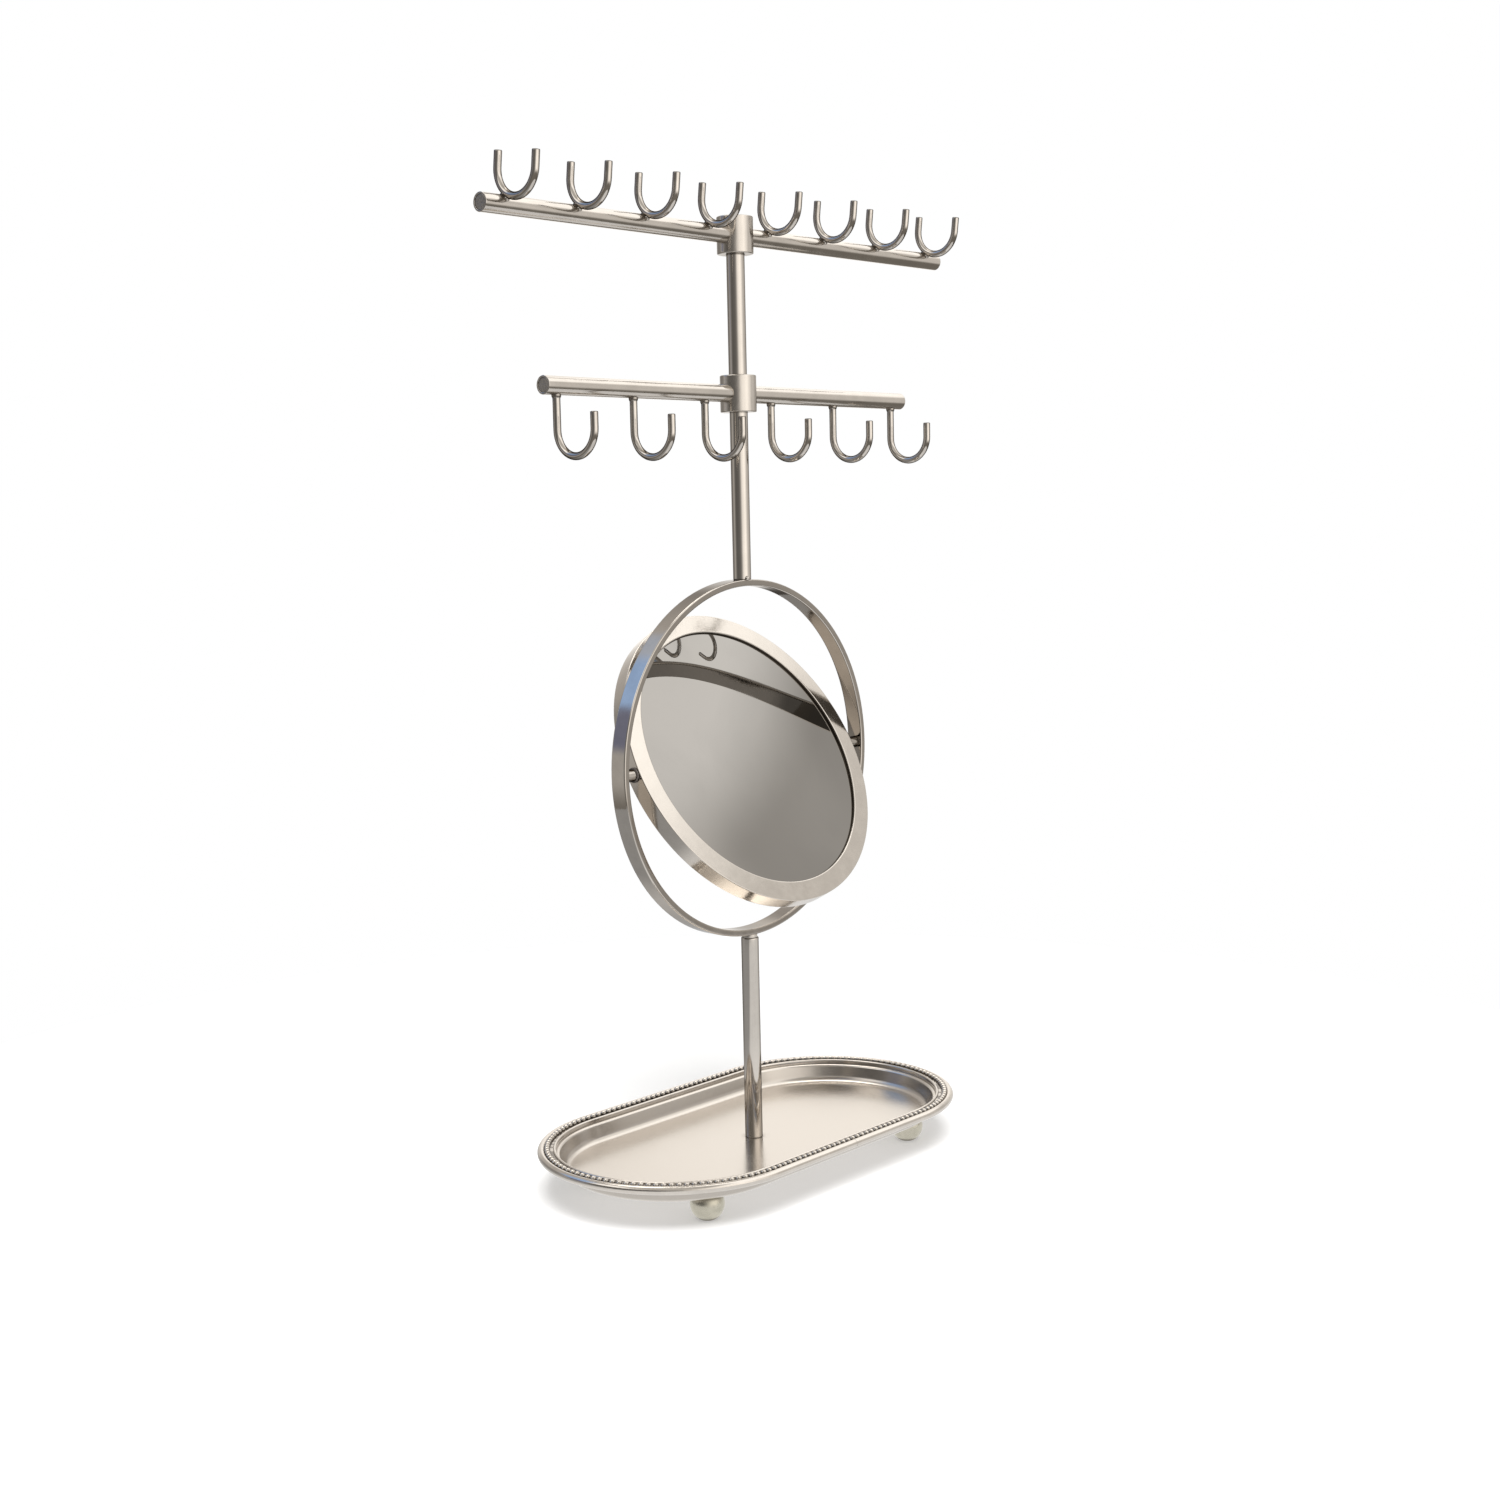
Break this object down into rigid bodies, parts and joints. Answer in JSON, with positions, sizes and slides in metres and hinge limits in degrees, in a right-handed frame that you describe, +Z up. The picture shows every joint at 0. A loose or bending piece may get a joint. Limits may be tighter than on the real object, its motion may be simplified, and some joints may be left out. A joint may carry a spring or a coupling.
{
  "type": "jewelry stand",
  "caption": "Jewelry stand: beaded oval tray on ball feet, a round swivel mirror in a hoop, and two crossbars with hooks for necklaces and bracelets.",
  "frame": {"origin": "on the post's axis, level with the bottoms of the feet", "axes": "+Z up along the post; +X along the crossbars and the tray's length, to the right of someone who faces the stand; -Y is the front, where the hooks open and the mirror faces"},
  "size_m": [0.361, 0.1532, 0.5454],
  "materials": {
    "brushed_nickel": "satin, warm brushed nickel plate",
    "foot_metal": "satin, darker antique nickel plate",
    "dark_plug": "dull, dark",
    "zinc_steel": "zinc plated",
    "brass_insert": "plain turned",
    "nylon_washer": "matte, black nylon",
    "mirror_glass": "silvered at the back",
    "backing_pad": "black closed-cell foam"
  },
  "bodies": {
    "stand": {"tray_dish": "brushed_nickel", "rim_border_left": "brushed_nickel", "rim_border_right": "brushed_nickel", "foot_front_left": "foot_metal", "foot_front_right": "foot_metal", "foot_rear_left": "foot_metal", "foot_rear_right": "foot_metal", "base_screw": "zinc_steel", "base_washer": "zinc_steel", "lower_post": "brushed_nickel", "lower_post_foot_insert": "brass_insert", "lower_post_head_insert": "brass_insert", "joint_collar": "brushed_nickel", "hoop": "brushed_nickel", "hoop_lower_stud": "zinc_steel", "hoop_upper_stud": "zinc_steel", "upper_post": "brushed_nickel", "upper_post_foot_insert": "brass_insert", "mid_tee": "brushed_nickel", "top_tee": "brushed_nickel", "top_bar_left": "brushed_nickel", "top_bar_right": "brushed_nickel", "mid_bar_left": "brushed_nickel", "mid_bar_right": "brushed_nickel", "top_bar_plug_left": "dark_plug", "top_bar_plug_right": "dark_plug", "mid_bar_plug_left": "dark_plug", "mid_bar_plug_right": "dark_plug", "upper_hook_1": "brushed_nickel", "upper_hook_2": "brushed_nickel", "upper_hook_3": "brushed_nickel", "upper_hook_4": "brushed_nickel", "upper_hook_5": "brushed_nickel", "upper_hook_6": "brushed_nickel", "upper_hook_7": "brushed_nickel", "upper_hook_8": "brushed_nickel", "lower_hook_1": "brushed_nickel", "lower_hook_2": "brushed_nickel", "lower_hook_3": "brushed_nickel", "lower_hook_4": "brushed_nickel", "lower_hook_5": "brushed_nickel", "lower_hook_6": "brushed_nickel", "pivot_pin_left": "brushed_nickel", "pivot_pin_right": "brushed_nickel", "pivot_spacer_left": "brushed_nickel", "pivot_spacer_right": "brushed_nickel", "pivot_washer_left": "nylon_washer", "pivot_washer_right": "nylon_washer"},
    "mirror": {"mirror_frame": "brushed_nickel", "mirror_glass": "mirror_glass", "backing_pad": "backing_pad", "back_plate": "brushed_nickel"}
  },
  "joints": [
    {"name": "mirror_tilt", "type": "hinge", "parent": "stand", "child": "mirror", "pos_m": [0, 0, 0.233], "axis": [1, 0, 0], "continuous": true}
  ]
}
